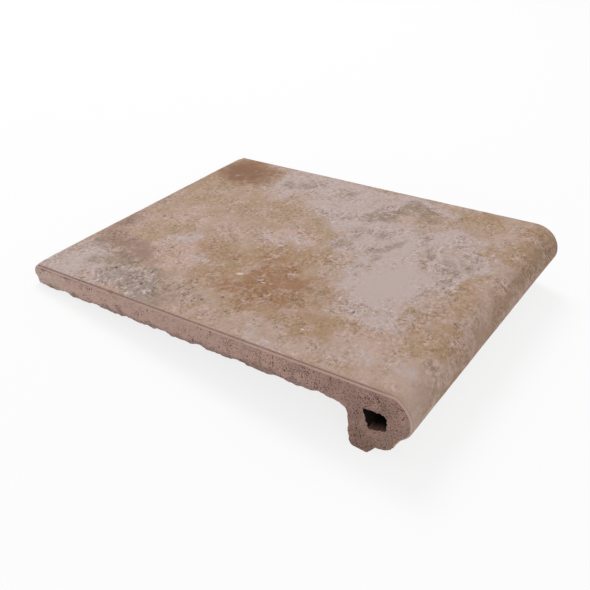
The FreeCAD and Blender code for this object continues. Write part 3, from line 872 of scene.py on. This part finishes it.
def step_line(nodes, place, colour):
    """Painted shade in the crease at the foot of the step along the cut edges, and the paler shoulder
    beyond it.

    The painted shade is a clear line along the walking face and a faint one round the nosing.
    """
    x, y, z = nodes.apart(place)
    out = nodes.math("ABSOLUTE", x)
    step = WIDTH / 2 - SHOULDER_WIDTH
    unsteady = nodes.swing(nodes.noise(place, 4, 3, 0.6, 70))
    rim = nodes.ramp(out, step - STEP_BATTER, step)
    colour = nodes.paint(nodes.times(rim, 0.8), colour, SHOULDER_COLOUR)
    bend = DEPTH - NOSING_RADIUS
    level = nodes.ramp(y, bend - 4, bend + 6, 1.0, 0.0)
    above = nodes.math("ABSOLUTE", nodes.math("ADD", z, EDGE_STEP))
    near = nodes.math("MAXIMUM", above, nodes.math("SUBTRACT", out, step + STEP_BATTER))
    near = nodes.math("MULTIPLY_ADD", unsteady, 0.5, near)
    clear = nodes.times(nodes.times(nodes.ramp(near, 0.42, 0.15), level), rim)
    near = nodes.math("ABSOLUTE", nodes.math("SUBTRACT", out, step))
    near = nodes.math("MULTIPLY_ADD", unsteady, 0.6, near)
    faint = nodes.times(nodes.ramp(near, 0.5, 0.15, 0.0, 0.6), nodes.rest(level))
    # Painted shade in the crease: a clear line along the walking face, a faint one round the nosing.
    return nodes.paint(nodes.times(nodes.math("MAXIMUM", clear, faint), 0.52), colour, STEP_CREASE_SHADE)


def raw_material():
    """The bare clay of the underside, its grain drawn out along the nosing."""
    nodes = Nodes(bpy.data.materials.new("raw_clay"))
    place = nodes.tile_place()
    grain = nodes.noise(nodes.vector("MULTIPLY", place, DRAWN), 1.3, 4, 0.7, 11)
    cloud = nodes.noise(place, 16, 5, 0.62, 12)
    speckle = nodes.noise(place, 1.0, 2, 0.6, 13)
    colour = drift(nodes, nodes.ramp(cloud, 0.35, 0.65), RAW_BASE)
    colour = nodes.paint(nodes.ramp(grain, 0.46, 0.3, 0.0, 0.5), colour, RAW_GRAIN)
    shade = nodes.math("MULTIPLY_ADD", nodes.swing(speckle), 0.4, 1.0)
    colour = nodes.vector("MULTIPLY", colour, shade)
    pits = nodes.ramp(nodes.noise(place, 1.6, 2, 0.65, 14), 0.32, 0.25)
    colour = nodes.paint(nodes.times(pits, 0.7), colour, RAW_PIT)
    return nodes.clay(colour, CLAY_ROUGHNESS, nodes.math("MULTIPLY_ADD", pits, -0.8, grain))


def cut_material():
    """The cut faces: paler towards the rear edge, redder and full of pits towards the nosing."""
    nodes = Nodes(bpy.data.materials.new("cut_clay"))
    place = nodes.tile_place()
    x, y, z = nodes.apart(place)
    along = nodes.ramp(y, 20, DEPTH - 30, smooth=False)
    cloud = nodes.noise(place, 9, 5, 0.66, 12)
    patch = nodes.noise(place, 22, 4, 0.6, 16)
    grain = nodes.noise(place, 1.2, 4, 0.7, 11)
    colour = drift(nodes, along, CUT_BASE)
    # The rear end is palest, the nosing darkest, and the drip lip redder.
    colour = nodes.paint(nodes.ramp(y, 44, 6, 0.0, 0.7), colour, CUT_REAR)
    colour = nodes.paint(nodes.ramp(y, 230, 272, 0.0, 0.75), colour, CUT_NOSE)
    colour = nodes.paint(nodes.ramp(z, -14, -36, 0.0, 0.5), colour, CUT_FOOT)
    colour = nodes.paint(nodes.ramp(cloud, 0.45, 0.7, 0.0, 0.6), colour, CUT_ROSY)
    colour = nodes.paint(nodes.ramp(cloud, 0.5, 0.3, 0.0, 0.6), colour, CUT_BROWN)
    colour = nodes.paint(nodes.ramp(patch, 0.5, 0.66, 0.0, 0.35), colour, CUT_GREY)
    # Dull patches along the slab's lower edge.
    low = nodes.math("MULTIPLY_ADD", nodes.swing(cloud), 14, z)
    low = nodes.times(nodes.ramp(low, -13, -16), nodes.ramp(y, 250, 235))
    colour = nodes.paint(nodes.times(low, 0.5), colour, CUT_LOW)

    # Fine pores, more of them in clumps and towards the nosing.
    clumps = nodes.ramp(nodes.noise(place, 8, 4, 0.6, 17), 0.4, 0.66, 0.0, 0.07)
    clumps = nodes.times(clumps, nodes.math("MULTIPLY_ADD", along, 0.3, 0.8))
    pitted = nodes.math("SUBTRACT", nodes.noise(place, 0.9, 2, 0.65, 14), clumps)
    pits = nodes.ramp(nodes.math("MULTIPLY_ADD", along, -0.03, pitted), 0.36, 0.29)
    colour = nodes.paint(nodes.times(pits, 0.85), colour, CUT_PIT)
    shade = nodes.math("MULTIPLY_ADD", nodes.swing(grain), 0.7, 1.0)
    colour = nodes.vector("MULTIPLY", colour, shade)
    # Painted shade: a broken dark line under the shoulder near the rear end, and inside the larger
    # pores.
    rim_shade = nodes.math("ABSOLUTE", nodes.math("ADD", z, EDGE_STEP + SHOULDER_FALL + 0.6))
    rim_shade = nodes.math("MULTIPLY_ADD", nodes.swing(cloud), 2.5, rim_shade)
    rim_shade = nodes.times(nodes.ramp(rim_shade, 0.6, 0.2), nodes.ramp(y, 80, 30))
    colour = nodes.paint(nodes.times(rim_shade, 0.6), colour, CUT_RIM_SHADE)
    # Painted shade wherever the cut face lies more than about half a millimetre deep, as inside the
    # larger pores.
    hollow_shade = nodes.ramp(nodes.math("ABSOLUTE", x), WIDTH / 2 - 0.45, WIDTH / 2 - 0.8)
    colour = nodes.paint(nodes.times(hollow_shade, 0.85), colour, CUT_HOLLOW_SHADE)
    return nodes.clay(colour, CLAY_ROUGHNESS, nodes.math("MULTIPLY_ADD", pits, -0.8, grain))


def core_material():
    """The wall of the hole: near-black painted shade within, and on its floor near the cut faces its
    clay colour, itself darkened with painted shade.
    """
    nodes = Nodes(bpy.data.materials.new("core_clay"))
    place = nodes.tile_place()
    x, y, z = nodes.apart(place)
    grain = nodes.noise(nodes.vector("MULTIPLY", place, DRAWN), 1.2, 4, 0.7, 11)
    # The hole's clay colour, darkened with painted shade.
    colour = drift(nodes, nodes.ramp(grain, 0.35, 0.65), CORE_BASE)
    # Above is the height over the sloped floor, and depth how far in from the nearer cut face.
    slope = math.tan(math.radians(CORE_FLOOR_SLOPE))
    heel = core_heel()
    above = nodes.math("MULTIPLY_ADD", y, -slope, z)
    above = nodes.math("SUBTRACT", above, float(heel[1] - heel[0] * slope))
    depth = nodes.math("SUBTRACT", WIDTH / 2, nodes.math("ABSOLUTE", x))
    off_floor = nodes.times(nodes.ramp(above, 0.3, 1.1), nodes.ramp(depth, 0.1, 0.9, 0.4, 1.0))
    # Painted shade: near black deeper than a few mm in from the cut faces, and on the walls above the
    # floor.
    shaded_within = nodes.math("MAXIMUM", nodes.ramp(depth, 0.5, 9.0), off_floor)
    colour = nodes.paint(shaded_within, colour, CORE_SHADE)
    return nodes.clay(colour, CORE_ROUGHNESS, grain, CORE_BUMP_DEPTH)


def make_materials():
    """In the order of SKIN, CUT, CORE and RAW."""
    return [skin_material(), cut_material(), core_material(), raw_material()]


# The floor, sky and lamps, in metres and watts.
FLOOR_REACH, FLOOR_COLOUR, FLOOR_WHITENESS = 6.0, (0.9, 0.9, 0.9, 1.0), 0.8
SKY_STRENGTH = 0.54
KEY_PLACE, KEY_BREADTH, KEY_POWER = (-0.7, -1.1, 1.9), 1.0, 26.5
FILL_PLACE, FILL_BREADTH, FILL_POWER = (1.5, 1.3, 0.8), 1.4, 11


def make_stage():
    """A pale floor that the camera sees as white except for the tile's soft shadow."""
    corners = [(-FLOOR_REACH, -FLOOR_REACH, 0), (FLOOR_REACH, -FLOOR_REACH, 0),
               (FLOOR_REACH, FLOOR_REACH, 0), (-FLOOR_REACH, FLOOR_REACH, 0)]
    data = bpy.data.meshes.new("floor")
    data.from_pydata(corners, [], [(0, 1, 2, 3)])
    floor = bpy.data.objects.new("floor", data)
    bpy.context.scene.collection.objects.link(floor)
    nodes = Nodes(bpy.data.materials.new("floor_paper"))
    lit = nodes.add("ShaderNodeBsdfDiffuse", {"Color": FLOOR_COLOUR})
    glow = nodes.add("ShaderNodeEmission", {"Color": WHITE, "Strength": 1.0})
    seen = nodes.add("ShaderNodeLightPath").outputs["Is Camera Ray"]
    share = nodes.times(seen, FLOOR_WHITENESS)
    mixed = nodes.add("ShaderNodeMixShader", {0: share, 1: lit.outputs[0], 2: glow.outputs[0]})
    nodes.add("ShaderNodeOutputMaterial", {"Surface": mixed.outputs[0]})
    data.materials.append(nodes.owner)


def make_light():
    """A soft sky, which the camera and reflections see as plain white, and two lamps."""
    world = bpy.data.worlds.new("studio")
    bpy.context.scene.world = world
    nodes = Nodes(world)
    paths = nodes.add("ShaderNodeLightPath").outputs
    shown = nodes.math("MAXIMUM", paths["Is Camera Ray"], paths["Is Glossy Ray"])
    soft = nodes.add("ShaderNodeBackground", {"Color": WHITE, "Strength": SKY_STRENGTH})
    plain = nodes.add("ShaderNodeBackground", {"Color": WHITE, "Strength": 1.0})
    mixed = nodes.add("ShaderNodeMixShader", {0: shown, 1: soft.outputs[0], 2: plain.outputs[0]})
    nodes.add("ShaderNodeOutputWorld", {"Surface": mixed.outputs[0]})
    lamp("key", KEY_PLACE, KEY_BREADTH, KEY_POWER)
    lamp("fill", FILL_PLACE, FILL_BREADTH, FILL_POWER)


def lamp(name, place, breadth, power):
    """A square lamp in metres and watts that points at the tile."""
    light = bpy.data.lights.new(name, "AREA")
    light.size = breadth
    light.energy = power
    lamp_object = bpy.data.objects.new(name, light)
    bpy.context.scene.collection.objects.link(lamp_object)
    lamp_object.location = place
    lamp_object.rotation_euler = Vector(place).to_track_quat("Z", "Y").to_euler()


# The camera, from the photograph's vanishing points and edges, in the tile's own frame in mm.
EYE = Vector((431.2, 447.29, 266.13))
CAMERA_RIGHT = Vector((-0.55745, 0.82977, -0.02706))
CAMERA_FORWARD = Vector((-0.7059, -0.49089, -0.51062))
PHOTO_PIXELS = 590
FOCAL_PIXELS = 780.7
SENSOR = 36.0


def make_camera():
    """The photograph's view of the tile, as it lies on the floor."""
    camera = bpy.data.cameras.new("camera")
    camera.sensor_width = SENSOR
    camera.lens = FOCAL_PIXELS / PHOTO_PIXELS * SENSOR
    turn = TO_FLOOR.to_3x3()
    back = (turn @ -CAMERA_FORWARD).normalized()
    right = turn @ CAMERA_RIGHT
    up = back.cross(right).normalized()
    right = up.cross(back)
    rotation = Matrix((right, up, back)).transposed()
    camera_object = bpy.data.objects.new("camera", camera)
    camera_object.matrix_world = Matrix.Translation(TO_FLOOR @ (EYE * MM)) @ rotation.to_4x4()
    bpy.context.scene.collection.objects.link(camera_object)
    bpy.context.scene.camera = camera_object


bpy.context.scene.view_settings.view_transform = "Standard"
build_tile(make_materials())
make_stage()
make_light()
make_camera()

bpy.context.view_layer.update()
